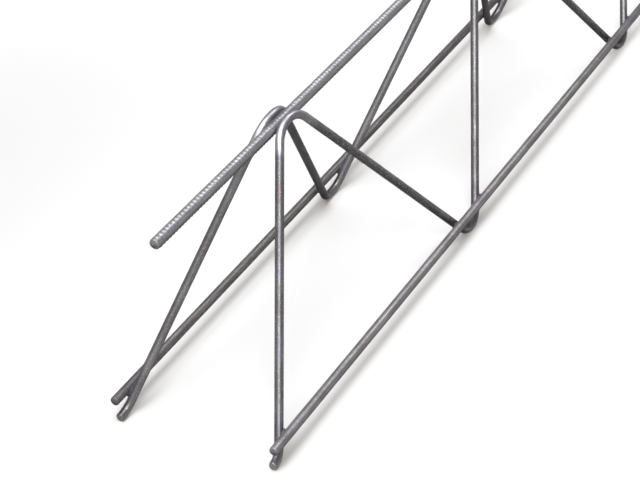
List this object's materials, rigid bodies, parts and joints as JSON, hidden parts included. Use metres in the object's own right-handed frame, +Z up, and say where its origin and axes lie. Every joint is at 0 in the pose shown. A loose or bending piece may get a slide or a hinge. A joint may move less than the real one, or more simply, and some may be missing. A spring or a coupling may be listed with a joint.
{
  "type": "lattice girder",
  "caption": "Triangular lattice girder of welded steel bars: a ribbed top chord and two bottom chords, joined by zigzag diagonals, for casting into concrete slabs.",
  "frame": {"origin": "on the floor under the middle of the girder, level with the undersides of the valley bends", "axes": "+X along the girder, +Y towards the left bottom chord, +Z up to the top chord"},
  "size_m": [0.509, 0.09, 0.119],
  "materials": {
    "ribbed_bar": "bare cold-rolled, ribbed",
    "chord_bar": "bare cold-rolled",
    "drawn_bar": "bare drawn, smooth"
  },
  "bodies": {
    "root": {"top_chord": "ribbed_bar", "bottom_chord_left": "chord_bar", "bottom_chord_right": "chord_bar", "diagonal_left": "drawn_bar", "diagonal_right": "drawn_bar"}
  },
  "joints": []
}
